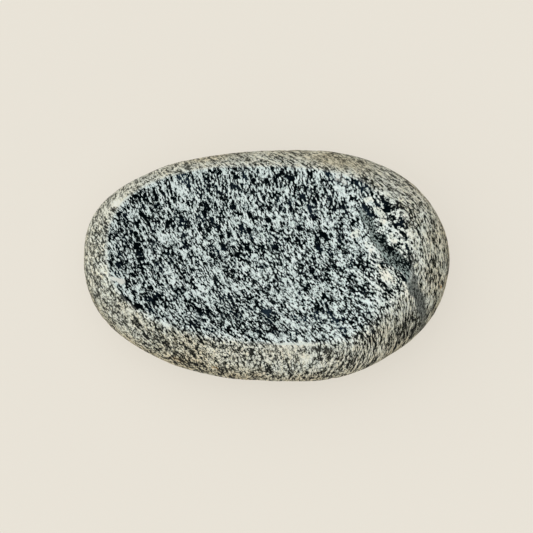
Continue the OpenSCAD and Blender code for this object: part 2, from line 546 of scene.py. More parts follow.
# ---- Materials ----
class Wiring:
    """Adds nodes to one node tree and wires them up.

    The first three values are the places of a Mix node's colours among its inputs and its outputs.
    """

    MIX_FIRST: ClassVar[int] = 6
    MIX_SECOND: ClassVar[int] = 7
    MIX_RESULT: ClassVar[int] = 2

    def __init__(self, tree: bpy.types.NodeTree) -> None:
        """Starts with the tree that the nodes go into."""
        self.tree = tree

    @classmethod
    def fresh(cls, owner: bpy.types.Material | bpy.types.World) -> Wiring:
        """Clears the nodes of a material or a world.

        Args:
            owner: What the nodes belong to.

        Returns:
            The wiring for its new nodes.
        """
        owner.use_nodes = True
        owner.node_tree.nodes.clear()
        return cls(owner.node_tree)

    def feed(self, socket: Socket, value: Any) -> None:
        """Gives an input socket its value.

        Args:
            socket: The input socket.
            value: Another node's output, or a plain value.
        """
        if isinstance(value, Socket):
            self.tree.links.new(value, socket)
        else:
            socket.default_value = value

    def node(self, kind: str, inputs: dict[Any, Any] | None = None, **settings: Any) -> bpy.types.Node:
        """Adds a node.

        Args:
            kind: The node's type, without its ShaderNode prefix.
            inputs: What each input socket gets: another node's output, or a plain value.
            settings: Properties to set on the node.

        Returns:
            The new node.
        """
        made = self.tree.nodes.new(kind if kind.startswith("Node") else "ShaderNode" + kind)
        for name, value in settings.items():
            setattr(made, name, value)
        for key, value in (inputs or {}).items():
            self.feed(made.inputs[key], value)
        return made

    def math(self, operation: str, *values: Any, clamp: bool = False) -> Socket:
        """Adds a Math node and returns its result."""
        inputs = dict(enumerate(values))
        return self.node("Math", inputs, operation=operation, use_clamp=clamp).outputs[0]

    def between(self, share: Any, first: Any, second: Any) -> Socket:
        """Gives a value a share of the way from the first one to the second."""
        return self.math("MULTIPLY_ADD", self.math("SUBTRACT", second, first), share, first)

    def vector(self, operation: str, *values: Any) -> Socket:
        """Adds a Vector Math node and returns its vector."""
        inputs = dict(enumerate(values))
        return self.node("VectorMath", inputs, operation=operation).outputs["Vector"]

    def scaled(self, vector: Any, scale: Any) -> Socket:
        """Makes a vector longer or shorter."""
        inputs = {0: vector, "Scale": scale}
        return self.node("VectorMath", inputs, operation="SCALE").outputs["Vector"]

    def axes(self, vector: Any) -> bpy.types.NodeOutputs:
        """Takes a vector apart, into outputs named X, Y and Z."""
        return self.node("SeparateXYZ", {0: vector}).outputs

    def span(self, value: Any, start: Any, end: Any, before: Any = 0.0, after: Any = 1.0) -> Socket:
        """Eases from one value to another while what it reads goes from a start to an end.

        Args:
            value: What it reads.
            start: Where the change starts.
            end: Where it ends.
            before: What it gives at the start and before it.
            after: What it gives at the end and past it.

        Returns:
            The eased value.
        """
        inputs = {"Value": value, "From Min": start, "From Max": end, "To Min": before, "To Max": after}
        return self.node("MapRange", inputs, interpolation_type="SMOOTHSTEP").outputs[0]

    def mix(self, share: Any, first: Any, second: Any, way: str = "MIX") -> Socket:
        """Mixes two colours.

        Args:
            share: How much of the second colour goes in.
            first: A colour, as another node's output or as three linear values.
            second: The colour that goes in, in the same form.
            way: How it goes in.

        Returns:
            The mixed colour.
        """
        made = self.node("Mix", {"Factor": share}, data_type="RGBA", blend_type=way)
        for key, colour in ((self.MIX_FIRST, first), (self.MIX_SECOND, second)):
            linked = isinstance(colour, Socket)
            self.feed(made.inputs[key], colour if linked else (*colour, 1.0))
        return made.outputs[self.MIX_RESULT]

    def blend(self, value: Any, span: Span, dark: Colour, pale: Colour) -> Socket:
        """Eases from a dark colour to a pale one while a value goes through a span."""
        return self.mix(self.span(value, *span), linear(dark), linear(pale))

    def washed(self, colour: Any, wash: Any) -> Socket:
        """Multiplies a colour by another."""
        return self.mix(1.0, colour, wash, "MULTIPLY")

    def ramp(self, value: Any, stops: Stops) -> Socket:
        """Colours a value by a ramp.

        Args:
            value: What to colour.
            stops: The values at which the ramp has its colours.

        Returns:
            The colour.
        """
        made = self.node("ValToRGB", {"Fac": value})
        elements = made.color_ramp.elements
        while len(elements) < len(stops):
            elements.new(0.5)
        for element, (position, colour) in zip(elements, stops, strict=True):
            element.position = position
            element.color = (*linear(colour), 1.0)
        return made.outputs["Color"]

    def group(self, tree: bpy.types.NodeTree, inputs: dict[str, Any]) -> bpy.types.NodeOutputs:
        """Places a node group and returns its outputs."""
        return self.node("Group", inputs, node_tree=tree).outputs

    def point_value(self, name: str) -> Socket:
        """Reads a value that each point of the mesh carries."""
        return self.node("Attribute", attribute_name=name).outputs["Fac"]

    def cells(self, vector: Any, scale: float, feature: str = "F1", output: str = "Color") -> Socket:
        """Adds a Voronoi Texture node and returns one of its outputs."""
        inputs = {"Vector": vector, "Scale": scale}
        return self.node("TexVoronoi", inputs, feature=feature).outputs[output]

    def noise(
        self, vector: Any, scale: Any, detail: float, roughness: float, output: str = "Fac"
    ) -> Socket:
        """Adds a Noise Texture node and returns one of its outputs."""
        inputs = {"Vector": vector, "Scale": scale, "Detail": detail, "Roughness": roughness}
        return self.node("TexNoise", inputs).outputs[output]


def linear_level(level: int) -> float:
    """Turns one level of a colour, from 0 to 255, into the renderer's linear value."""
    share = level / 255
    return share / 12.92 if share <= 0.04045 else ((share + 0.055) / 1.055) ** 2.4


def linear(colour: Colour) -> Triple:
    """Turns a colour as a screen shows it into the renderer's linear values."""
    red, green, blue = colour
    return linear_level(red), linear_level(green), linear_level(blue)


class SharedGroup:
    """A shader node group that is built once and placed wherever it is wanted."""

    NAME: ClassVar[str]
    INPUTS: ClassVar[dict[str, tuple[str, Any]]]  # each input's type and default value
    OUTPUTS: ClassVar[dict[str, str]]  # each output's type

    @classmethod
    def tree(cls) -> bpy.types.NodeTree:
        """Returns the group, built once."""
        return bpy.data.node_groups.get(cls.NAME) or cls._build()

    @classmethod
    def _build(cls) -> bpy.types.NodeTree:
        """Builds the group.

        Returns:
            The group's node tree.
        """
        tree = bpy.data.node_groups.new(cls.NAME, "ShaderNodeTree")
        for label, (kind, value) in cls.INPUTS.items():
            socket = tree.interface.new_socket(label, in_out="INPUT", socket_type="NodeSocket" + kind)
            if value is not None:
                socket.default_value = value
        for label, kind in cls.OUTPUTS.items():
            tree.interface.new_socket(label, in_out="OUTPUT", socket_type="NodeSocket" + kind)
        nodes = Wiring(tree)
        given = nodes.node("NodeGroupInput").outputs
        nodes.node("NodeGroupOutput", cls._wire(nodes, given))
        return tree

    @classmethod
    def _wire(cls, nodes: Wiring, given: bpy.types.NodeOutputs) -> dict[str, Socket]:
        """Wires the group's own nodes from what it is given, and returns what each output gets."""
        raise NotImplementedError


class GrainGroup(SharedGroup):
    """Ragged mineral grains of two sizes, each of one tone, gathered in clumps and partly outlined."""

    NAME = "mineral_grain"
    INPUTS = {
        "Vector": ("Vector", None),
        "Raggedness": ("Float", 1.0),
        "Clump size": ("Float", 3.4),
        "Clumping": ("Float", 1.4),
        "Outline": ("Float", 0.2),
    }
    OUTPUTS = {"Tone": "Float", "Fleck": "Float"}
    BEND_NOISE = (1.7, 3.0, 0.65)
    SMALL_SHAPE = (1.3, 1.3, 1.0)
    SMALL_SCALE = 2.1
    COARSE_SHARE = 0.67
    SMALL_SHARE = 0.33
    CLUMP_SHAPE = (0.6, 0.6, 1.0)
    CLUMP_DETAIL = (3.0, 0.6)
    MIDDLE = 0.5
    LINE = (0.02, 0.12, 1.0, 0.0)

    @classmethod
    def _wire(cls, nodes: Wiring, given: bpy.types.NodeOutputs) -> dict[str, Socket]:
        """Wires the grains.

        Args:
            nodes: The wiring of the group.
            given: The group's inputs.

        Returns:
            The grain's tone, and a random share of its own.
        """
        swing = nodes.noise(given["Vector"], *cls.BEND_NOISE, output="Color")
        swing = nodes.vector("SUBTRACT", swing, (cls.MIDDLE, cls.MIDDLE, cls.MIDDLE))
        place = nodes.vector("ADD", given["Vector"], nodes.scaled(swing, given["Raggedness"]))
        coarse = nodes.node("SeparateColor", {0: nodes.cells(place, 1.0)}).outputs
        rounder = nodes.vector("MULTIPLY", place, cls.SMALL_SHAPE)
        small = nodes.node("SeparateColor", {0: nodes.cells(rounder, cls.SMALL_SCALE)}).outputs
        coarse_tone = nodes.math("MULTIPLY", coarse[0], cls.COARSE_SHARE)
        grains = nodes.math("ADD", coarse_tone, nodes.math("MULTIPLY", small[0], cls.SMALL_SHARE))
        longer = nodes.vector("MULTIPLY", given["Vector"], cls.CLUMP_SHAPE)
        clump = nodes.noise(longer, nodes.math("DIVIDE", 1.0, given["Clump size"]), *cls.CLUMP_DETAIL)
        lift = nodes.math("MULTIPLY", nodes.math("SUBTRACT", clump, cls.MIDDLE), given["Clumping"])
        border = nodes.cells(place, 1.0, "DISTANCE_TO_EDGE", "Distance")
        line = nodes.math("MULTIPLY", nodes.span(border, *cls.LINE), given["Outline"])
        tone = nodes.math("SUBTRACT", nodes.math("ADD", grains, lift), line)
        return {"Tone": tone, "Fleck": coarse[1]}


class RaggedMaskGroup(SharedGroup):
    """Mask of a patch with a ragged edge, from the patch's soft share."""

    NAME = "ragged_mask"
    INPUTS = {
        "Share": ("Float", 0.0),
        "Rag": ("Float", 0.0),
        "Low": ("Float", 0.25),
        "High": ("Float", 0.75),
    }
    OUTPUTS = {"Mask": "Float"}
    SWING = 3.0

    @classmethod
    def _wire(cls, nodes: Wiring, given: bpy.types.NodeOutputs) -> dict[str, Socket]:
        """Wires the mask: the share, moved up and down where the patch fades out, and sharpened.

        Args:
            nodes: The wiring of the group.
            given: The group's inputs.

        Returns:
            The mask.
        """
        share = given["Share"]
        between = nodes.math("MULTIPLY", share, nodes.math("SUBTRACT", 1.0, share))
        swing = nodes.math("MULTIPLY", between, cls.SWING)
        uneven = nodes.math("MULTIPLY_ADD", swing, given["Rag"], share)
        return {"Mask": nodes.span(uneven, given["Low"], given["High"])}


@dataclass
class Spot:
    """What the rock is like at the spot that is being coloured, as the outputs of nodes.

    The place is in millimetres, inside is how far inside the rim it lies, softness is how softly the
    polish ends there, and rag is how far the edges of patches move in and out. Each tint has a mask. The
    tone is the grain's, from dark to pale, the fleck is a random share of the grain's own, and the
    speckle is a finer tone for the slate.
    """

    place: Socket
    inside: Socket
    softness: Socket
    rag: Socket
    masks: dict[Tint, Socket]
    tone: Socket | None = None
    fleck: Socket | None = None
    speckle: Socket | None = None


@dataclass(frozen=True)
class Streaks:
    """How the streaks lie: upright sheets in the rock that lean under the hollow and fan at one end.

    The lean of the skin changes along a line that is skewed from the stone's length. It turns into the
    hollow's over the rim, and counts from one height.
    """

    grain_size: Triple = (1.18, 0.88, 0.41)
    normal: Triple = (0.81, 0.53, 0.0)
    skew: float = 0.4
    skin_lean: Span = (-45.0, 25.0, 0.3, -0.6)
    hollow_lean: float = -0.44
    rim_change: Span = (-5.0, 3.0)
    upright_height: float = 27.0
    fan: Span = (32.0, 50.0, 0.0, -0.4)

    def lay(self, nodes: Wiring, spot: Spot) -> Socket:
        """Lays out the streaks.

        Args:
            nodes: The wiring of the material.
            spot: What the rock is like there.

        Returns:
            The place along, up and across the streaks, in grain sizes.
        """
        turn = Vector(self.normal).to_track_quat("Z", "X").to_euler()
        flat = nodes.node("Mapping", {"Vector": spot.place, "Rotation": turn}, vector_type="TEXTURE")
        axes = nodes.axes(spot.place)
        way = nodes.math("MULTIPLY_ADD", axes["Y"], self.skew, axes["X"])
        skin_lean = nodes.span(way, *self.skin_lean)
        lean = nodes.span(spot.inside, *self.rim_change, skin_lean, self.hollow_lean)
        leaning = nodes.math("MULTIPLY", nodes.math("SUBTRACT", axes["Z"], self.upright_height), lean)
        across = nodes.math("MULTIPLY_ADD", axes["Y"], nodes.span(axes["X"], *self.fan), leaning)
        shift = nodes.node("CombineXYZ", {"Z": across}).outputs[0]
        return nodes.vector("DIVIDE", nodes.vector("ADD", flat.outputs[0], shift), self.grain_size)


@dataclass(frozen=True)
class CoarseGrain:
    """One kind of coarser grain that weathers out of the skin, set against the fine grain."""

    share: Triple
    clumping: float
    raggedness: float
    outline: float

    def tone(self, nodes: Wiring, laid: Socket) -> Socket:
        """Gives the grain's tone.

        Args:
            nodes: The wiring of the material.
            laid: The place along, up and across the streaks.

        Returns:
            The tone, from dark to pale.
        """
        inputs = {
            "Vector": nodes.vector("MULTIPLY", laid, self.share),
            "Clumping": self.clumping,
            "Raggedness": self.raggedness,
            "Outline": self.outline,
        }
        return nodes.group(GrainGroup.tree(), inputs)["Tone"]


@dataclass(frozen=True)
class Grains:
    """The grains: fine in the hollow, and on the skin larger crystals or, at the right, longer streaks.

    The skin starts outside the rim. Streaks take over from crystals along X, and the share of crystals
    and the contrast, which turns about the middle tone, change along Y.
    """

    skin: Span = (-2.5, 0.0, 1.0, 0.0)
    crystals: CoarseGrain = CoarseGrain((0.76, 0.8, 0.52), clumping=0.7, raggedness=1.2, outline=0.5)
    crystal_contrast: float = 0.75
    crystal_lift: float = 0.17
    crystal_amount: Span = (-29.0, -20.0, 0.76, 0.5)
    streaks: CoarseGrain = CoarseGrain((0.32, 0.9, 1.3), clumping=0.8, raggedness=0.7, outline=0.2)
    streak_amount: Span = (14.0, 36.0)
    streak_extra: float = 0.35
    contrast: Span = (-30.0, -16.0, 1.55, 1.07)
    middle_tone: float = 0.46
    lifts: tuple[tuple[Tint, float], ...] = (
        (Tint.PALE, 0.6),
        (Tint.CREAM, 0.28),
        (Tint.PALE_GREY, 0.1),
        (Tint.DARK, -0.5),
        (Tint.NAVY, -0.15),
    )

    def lay(self, nodes: Wiring, spot: Spot, laid: Socket) -> tuple[Socket, Socket]:
        """Lays the grains along the streaks and gathers them in patches.

        Args:
            nodes: The wiring of the material.
            spot: What the rock is like there.
            laid: The place along, up and across the streaks.

        Returns:
            The tone of the grain there, and a random share of its own.
        """
        grain = nodes.group(GrainGroup.tree(), {"Vector": laid})
        axes = nodes.axes(spot.place)
        streaky = nodes.span(axes["X"], *self.streak_amount)
        crystals = self.crystals.tone(nodes, laid)
        crystals = nodes.math("MULTIPLY_ADD", crystals, self.crystal_contrast, self.crystal_lift)
        skin = nodes.between(streaky, crystals, self.streaks.tone(nodes, laid))
        coarse = nodes.span(axes["Y"], *self.crystal_amount)
        coarse = nodes.math("MULTIPLY_ADD", streaky, self.streak_extra, coarse)
        coarse = nodes.math("MULTIPLY", nodes.span(spot.inside, *self.skin), coarse, clamp=True)
        tone = nodes.between(coarse, grain["Tone"], skin)
        away = nodes.math("SUBTRACT", tone, self.middle_tone)
        contrast = nodes.span(axes["Y"], *self.contrast)
        tone = nodes.math("MULTIPLY_ADD", away, contrast, self.middle_tone)
        for tint, lift in self.lifts:
            tone = nodes.math("MULTIPLY_ADD", spot.masks[tint], lift, tone)
        return tone, grain["Fleck"]


@dataclass(frozen=True)
class Rim:
    """Where the polish ends, round the rim, and the thin pale line that runs there, partly bruised grain
    and partly a painted highlight.

    The polish fades out over its reach, and its edge is uneven by its rag. Both are small where the rim
    is crisp, and grow with its softness. The line lies a little outside the rim.
    """

    reach: float = 0.3
    reach_growth: float = 2.6
    rag: float = 0.35
    rag_growth: float = 1.2
    line_rag: float = 0.45
    line_shift: float = 0.2
    line_edge: Span = (0.15, 0.5, 1.0, 0.0)
    line_tones: Span = (0.25, 0.55, 0.1, 0.8)
    line_softness: Span = (0.1, 0.45, 1.0, 0.0)
    # Colour of the pale rim line: partly bruised grain, partly a painted highlight.
    bruise_and_highlight_colour: Colour = (212, 217, 207)

    def polish(self, nodes: Wiring, spot: Spot) -> Socket:
        """Gives the share of polish, 1 in the hollow and 0 on the skin.

        Args:
            nodes: The wiring of the material.
            spot: What the rock is like there.

        Returns:
            The share.
        """
        reach = nodes.math("MULTIPLY_ADD", spot.softness, self.reach_growth, self.reach)
        rag = nodes.math("MULTIPLY_ADD", spot.softness, self.rag_growth, self.rag)
        edge = nodes.math("MULTIPLY_ADD", spot.rag, rag, spot.inside)
        return nodes.span(edge, nodes.math("MULTIPLY", reach, -1.0), reach)

    def line(self, nodes: Wiring, spot: Spot) -> Socket:
        """Gives the mask of the pale line, partly bruised grain and partly a painted highlight, which
        shows where the rim is crisp and the grain pale.

        Args:
            nodes: The wiring of the material.
            spot: What the rock is like there.

        Returns:
            The mask.
        """
        shifted = nodes.math("ADD", spot.inside, self.line_shift)
        away = nodes.math("ABSOLUTE", nodes.math("MULTIPLY_ADD", spot.rag, self.line_rag, shifted))
        broken = nodes.math("MAXIMUM", nodes.span(spot.tone, *self.line_tones), spot.masks[Tint.CREAM])
        crisp = nodes.math("MULTIPLY", nodes.span(spot.softness, *self.line_softness), broken)
        return nodes.math("MULTIPLY", nodes.span(away, *self.line_edge), crisp)


@dataclass(frozen=True)
class PolishedFinish:
    """The polished rock: black and pale grains with blue-black mica and a painted navy reflection,
    warmer at the right-hand end.
    """

    tones: Stops = (
        (0.0, (0, 3, 4)),
        (0.464, (0, 5, 6)),
        (0.4885, (52, 69, 67)),
        (0.5105, (145, 159, 155)),
        (0.531, (201, 213, 207)),
        (0.75, (211, 221, 214)),
        (1.0, (224, 231, 225)),
    )
    warm_noise: NoiseKind = (0.15, 3.0, 0.6)
    warm_swing: float = 22.0
    warm_end: Span = (38.0, 50.0)
    cool_wash: Wash = (0.995, 1.0, 1.01)
    warm_wash: Wash = (1.06, 1.0, 0.96)
    reflection_and_mica_noise: NoiseKind = (0.22, 3.0, 0.6)
    reflection_and_mica_share: Span = (0.5, 0.68, 0.0, 0.36)
    reflection_and_mica: Colour = (28, 40, 50)
    cream_wash: Wash = (1.0, 0.95, 0.89)
    slate_shade: float = -0.14
    slate_tones: Span = (0.452, 0.552)
    slate_dark: Colour = (2, 9, 9)
    slate_pale: Colour = (142, 154, 148)
    pale_grey: Colour = (212, 212, 202)

    def colour(self, nodes: Wiring, spot: Spot) -> Socket:
        """Gives the colour of the polished rock.

        Args:
            nodes: The wiring of the material.
            spot: What the rock is like there.

        Returns:
            The colour.
        """
        colour = nodes.ramp(spot.tone, self.tones)
        swing = nodes.noise(spot.place, *self.warm_noise)
        uneven = nodes.math("MULTIPLY_ADD", swing, self.warm_swing, nodes.axes(spot.place)["X"])
        warm = nodes.span(uneven, *self.warm_end)
        colour = nodes.washed(colour, nodes.mix(warm, self.cool_wash, self.warm_wash))
        # Painted reflection, partly mica: navy lifts the blacks in a noise and in the navy patches near
        # the rim.
        reflection_and_mica = nodes.span(nodes.noise(spot.place, *self.reflection_and_mica_noise), *self.reflection_and_mica_share)
        reflection_and_mica = nodes.math("MAXIMUM", reflection_and_mica, spot.masks[Tint.NAVY])
        colour = nodes.mix(reflection_and_mica, colour, linear(self.reflection_and_mica), "LIGHTEN")
        colour = nodes.mix(spot.masks[Tint.CREAM], colour, self.cream_wash, "MULTIPLY")
        colour = nodes.mix(spot.masks[Tint.PALE_GREY], colour, linear(self.pale_grey))
        shade = nodes.math("MULTIPLY_ADD", spot.masks[Tint.DARK], self.slate_shade, spot.speckle)
        slate = nodes.blend(shade, self.slate_tones, self.slate_dark, self.slate_pale)
        return nodes.mix(spot.masks[Tint.SLATE], colour, slate)


@dataclass(frozen=True)
class SkinFinish:
    """The weathered skin: grey-beige grains, ochre flecks, crust, stains, and painted shade that makes
    the lower flank darker and browner.
    """

    tones: Stops = (
        (0.0, (14, 16, 14)),
        (0.35, (26, 28, 25)),
        (0.403, (80, 82, 75)),
        (0.443, (158, 160, 147)),
        (0.4825, (206, 208, 197)),
        (1.0, (232, 232, 223)),
    )
    weather_noise: NoiseKind = (0.12, 3.0, 0.55)
    weather_share: Span = (0.35, 0.65)
    cool_wash: Wash = (0.97, 1.0, 0.99)
    warm_wash: Wash = (1.0, 0.975, 0.91)
    ochre_flecks: Span = (0.55, 0.9, 0.0, 0.7)
    ochre_wash: Wash = (1.0, 0.94, 0.82)
    crust_tones: Span = (0.2, 0.6)
    crust_dark: Colour = (88, 88, 77)
    crust_pale: Colour = (204, 203, 188)
    slate_tones: Span = (0.43, 0.57)
    slate_dark: Colour = (26, 30, 28)
    slate_pale: Colour = (122, 125, 117)
    brown_wash: Wash = (0.95, 0.87, 0.74)
    rust_flecks: Span = (0.15, 0.5)
    rust: Colour = (178, 138, 74)
    # Painted shade: the lower flank is made darker and browner below a wavering height.
    painted_shade_noise: NoiseKind = (0.3, 3.0, 0.6)
    painted_shade_swing: float = 5.0
    painted_shade_height: Span = (16.5, 24.5, 1.0, 0.0)
    painted_shade_wash: Wash = (0.86, 0.8, 0.7)

    def colour(self, nodes: Wiring, spot: Spot) -> Socket:
        """Gives the colour of the weathered skin, with its stains.

        Args:
            nodes: The wiring of the material.
            spot: What the rock is like there.

        Returns:
            The colour.
        """
        colour = nodes.ramp(spot.tone, self.tones)
        weather = nodes.span(nodes.noise(spot.place, *self.weather_noise), *self.weather_share)
        colour = nodes.washed(colour, nodes.mix(weather, self.cool_wash, self.warm_wash))
        ochre = nodes.span(spot.fleck, *self.ochre_flecks)
        colour = nodes.mix(ochre, colour, nodes.washed(colour, self.ochre_wash))
        crust = nodes.blend(spot.tone, self.crust_tones, self.crust_dark, self.crust_pale)
        colour = nodes.mix(spot.masks[Tint.CRUST], colour, crust)
        slate = nodes.blend(spot.speckle, self.slate_tones, self.slate_dark, self.slate_pale)
        colour = nodes.mix(spot.masks[Tint.SLATE], colour, slate)
        colour = nodes.mix(spot.masks[Tint.BROWN], colour, nodes.washed(colour, self.brown_wash))
        rusty = nodes.math("MULTIPLY", spot.masks[Tint.RUST], nodes.span(spot.fleck, *self.rust_flecks))
        colour = nodes.mix(rusty, colour, linear(self.rust))
        # Painted shade: darkens and browns the skin below a wavering height, towards the rest face.
        swing = nodes.noise(spot.place, *self.painted_shade_noise)
        uneven = nodes.math("MULTIPLY_ADD", swing, self.painted_shade_swing, nodes.axes(spot.place)["Z"])
        painted_shade = nodes.span(uneven, *self.painted_shade_height)
        return nodes.mix(painted_shade, colour, nodes.washed(colour, self.painted_shade_wash))


@dataclass(frozen=True)
class SpeckledRock:
    """The rock's finish: mineral grains in slanting streaks, bright where polished, dull on the skin."""

    streaks: Streaks = Streaks()
    grains: Grains = Grains()
    rim: Rim = Rim()
    polished: PolishedFinish = PolishedFinish()
    skin: SkinFinish = SkinFinish()
    rag_noise: NoiseKind = (0.45, 3.0, 0.6)
    rag_middle: float = 0.5
    rag_swing: float = 2.2
    ragged_tints: tuple[Tint, ...] = (Tint.CREAM, Tint.PALE_GREY, Tint.SLATE, Tint.RUST)
    speckle_noise: NoiseKind = (1.2, 2.0, 0.7)
    polished_roughness: float = 0.2
    skin_roughness: float = 0.72
    polished_grain: float = 0.03
    grain_height: float = 0.12
    grain_strength: float = 0.6
    specular: float = 0.14

    def material(self) -> bpy.types.Material:
        """Builds the material.

        Returns:
            The new material.
        """
        made = bpy.data.materials.new("speckled_rock")
        nodes = Wiring.fresh(made)
        spot = self._spot(nodes)
        polish = self.rim.polish(nodes, spot)
        colour = nodes.mix(polish, self.skin.colour(nodes, spot), self.polished.colour(nodes, spot))
        # The pale line along the crisp rim: partly bruised grain, partly a painted highlight.
        colour = nodes.mix(self.rim.line(nodes, spot), colour, linear(self.rim.bruise_and_highlight_colour))
        rough = nodes.span(polish, 0.0, 1.0, self.skin_roughness, self.polished_roughness)
        raised = nodes.span(polish, 0.0, 1.0, 1.0, self.polished_grain)
        height = nodes.math("MULTIPLY", spot.tone, raised)
        relief = {"Strength": self.grain_strength, "Distance": self.grain_height * MM, "Height": height}
        shader = nodes.node(
            "BsdfPrincipled",
            {
                "Base Color": colour,
                "Roughness": rough,
                "Normal": nodes.node("Bump", relief).outputs[0],
                "Specular IOR Level": self.specular,
            },
        )
        nodes.node("OutputMaterial", {"Surface": shader.outputs[0]})
        return made

    def _spot(self, nodes: Wiring) -> Spot:
        """Finds out what the rock is like at the spot that is being coloured.

        Args:
            nodes: The wiring of the material.

        Returns:
            What it is like, with a ragged mask for each tint whose patches end in a clear edge.
        """
        place = nodes.scaled(nodes.node("TexCoord").outputs["Object"], 1 / MM)
        inside, softness = nodes.point_value(RIM_DISTANCE), nodes.point_value(POLISH_SOFTNESS)
        swing = nodes.math("SUBTRACT", nodes.noise(place, *self.rag_noise), self.rag_middle)
        rag = nodes.math("MULTIPLY", swing, self.rag_swing)
        masks = {tint: nodes.point_value(tint.value) for tint in Tint}
        for tint in self.ragged_tints:
            inputs = {"Share": masks[tint], "Rag": rag}
            masks[tint] = nodes.group(RaggedMaskGroup.tree(), inputs)["Mask"]
        spot = Spot(place, inside, softness, rag, masks)
        laid = self.streaks.lay(nodes, spot)
        spot.tone, spot.fleck = self.grains.lay(nodes, spot, laid)
        spot.speckle = nodes.noise(laid, *self.speckle_noise)
        return spot


# ---- The stone ----
@dataclass(frozen=True)
class Relief:
    """One size of lumps or dimples that water wore into the skin."""

    size: float
    height: float
    octaves: int = 2

    def at(self, point: Vector) -> float:
        """Height of the relief at a point, in millimetres."""
        return self.height * noise.fractal(point / self.size, 1.0, 2.0, self.octaves)


@dataclass(frozen=True)
class Pits:
    """Shallow pits where soft grains fell out of the skin."""

    size: float = 2.3
    depth: float = 0.16
    rarity: float = 0.28
    slope: float = 0.15
    shift: Triple = (7.0, 3.0, 11.0)

    def at(self, point: Vector) -> float:
        """Height of the surface at a point: 0 between the pits and below 0 in them."""
        swing = noise.noise(point / self.size + Vector(self.shift))
        return -self.depth * min(max(swing - self.rarity, 0) / self.slope, 1)


@dataclass(frozen=True)
class Bend:
    """A gentle noise that bends the outlines of the patches, with a part of its own for each axis."""

    reach: float = 1.1
    size: float = 2.6
    shifts: tuple[Triple, ...] = ((17.0, 0.0, 0.0), (0.0, 23.0, 0.0), (0.0, 0.0, 31.0))

    def at(self, point: Vector) -> list[float]:
        """The bend at a point along each axis, as shares of its reach."""
        place = point / self.size
        return [noise.noise(place + Vector(shift)) for shift in self.shifts]

    def moved(self, points: np.ndarray) -> np.ndarray:
        """Moves each point by the bend there."""
        return points + self.reach * np.array([self.at(Vector(point)) for point in points])


@dataclass(frozen=True)
class StonePiece:
    """The stone itself, modelled from a cube whose fine faces are drawn out over the loft.

    Each soft stretch of the polish's edge has its middle, its reach and its softness. The worn skin
    starts over the rim, and the seat is the height over which it begins above the rest face.
    """

    form: StoneForm = StoneForm()
    rock: SpeckledRock = SpeckledRock()
    cuts: int = 119
    lumps: tuple[Relief, ...] = (Relief(21.0, 0.4), Relief(6.5, 0.13), Relief(1.7, 0.05))
    polish_ripple: Relief = Relief(13.0, 0.03)
    pits: Pits = Pits()
    bend: Bend = Bend()
    soft_stretches: tuple[Triple, ...] = ((-40, 34, 1.0), (24, 34, 0.7), (-116, 30, 0.7))
    worn_start: Span = (-2.2, 0.6)
    seat: Span = (0.2, 3.0)

    def build(self) -> bpy.types.Object:
        """Builds the stone and dresses it.

        Returns:
            The finished piece, at the origin.
        """
        bm = bmesh.new()
        bmesh.ops.create_cube(bm, size=2.0)
        bmesh.ops.subdivide_edges(bm, edges=bm.edges[:], cuts=self.cuts, use_grid_fill=True)
        ball = np.array([self._rounded(vert.co) for vert in bm.verts])
        points, inside = self.form.wrap(ball)
        for vert, point in zip(bm.verts, points, strict=True):
            vert.co = Vector(point)
        bm.normal_update()
        self._wear(bm, inside)
        bmesh.ops.scale(bm, vec=(MM, MM, MM), verts=bm.verts[:])
        bmesh.ops.recalc_face_normals(bm, faces=bm.faces[:])
        for face in bm.faces:
            face.smooth = True
        mesh = bpy.data.meshes.new("river_stone")
        bm.to_mesh(mesh)
        bm.free()
        angle = np.degrees(np.arctan2(ball[:, 1], ball[:, 0]))
        self._mark(mesh, {RIM_DISTANCE: inside, POLISH_SOFTNESS: self._polish_softness(angle)})
        self._mark(mesh, self._patch_shares(points))
        piece = bpy.data.objects.new("river_stone", mesh)
        bpy.context.scene.collection.objects.link(piece)
        self.dress(piece)
        return piece

    def dress(self, piece: bpy.types.Object) -> None:
        """Gives the piece its finish."""
        piece.data.materials.append(self.rock.material())

    @staticmethod
    def _rounded(corner: Vector) -> Vector:
        """Draws a point of the cube out to the unit ball, with the faces kept even in size."""
        x, y, z = (math.tan(math.pi / 4 * value) for value in corner)
        return Vector((x, y, z)).normalized()

    def _wear(self, bm: bmesh.types.BMesh, inside: np.ndarray) -> None:
        """Wears lumps, dimples and pits into the skin, and leaves the hollow and the rest face smooth.

        Args:
            bm: The stone's mesh, in millimetres.
            inside: How far inside the rim each point lies.
        """
        skin = 1 - ease(inside, *self.worn_start)
        for vert, share in zip(bm.verts, skin, strict=True):
            seat = float(ease(np.array(vert.co.z), *self.seat))
            relief = sum(lump.at(vert.co) for lump in self.lumps) + self.pits.at(vert.co)
            ripple = self.polish_ripple.at(vert.co)
            vert.co += vert.normal * (relief * share * seat + ripple * (1 - share))
            vert.co.z = max(vert.co.z, 0.0)

    def _polish_softness(self, angle: np.ndarray) -> np.ndarray:
        """Gives the softness of the polish's edge.

        Args:
            angle: Angles round the stone.

        Returns:
            The softness, from 0 where the polish ends crisply to 1 where it fades out slowly.
        """
        softness = np.zeros_like(angle)
        for middle, reach, amount in self.soft_stretches:
            turn = np.abs(turn_from(angle, middle))
            softness = np.maximum(softness, amount * (1 - ease(turn, reach / 2, reach)))
        return softness

    def _patch_shares(self, points: np.ndarray) -> dict[str, np.ndarray]:
        """Gives each tint's share at each point.

        Args:
            points: One row of x, y and z for each point.

        Returns:
            The shares under each tint's value.
        """
        moved = self.bend.moved(points)
        return {
            tint.value: np.max([patch.share(moved) for patch in PATCHES[tint]], axis=0)
            for tint in Tint
        }

    @staticmethod
    def _mark(mesh: bpy.types.Mesh, values: dict[str, np.ndarray]) -> None:
        """Writes values on the points of the mesh.

        Args:
            mesh: The mesh.
            values: One value for each point, under the name that the material reads.
        """
        for name, shares in values.items():
            attribute = mesh.attributes.new(name, "FLOAT", "POINT")
            attribute.data.foreach_set("value", shares.astype(np.float32))


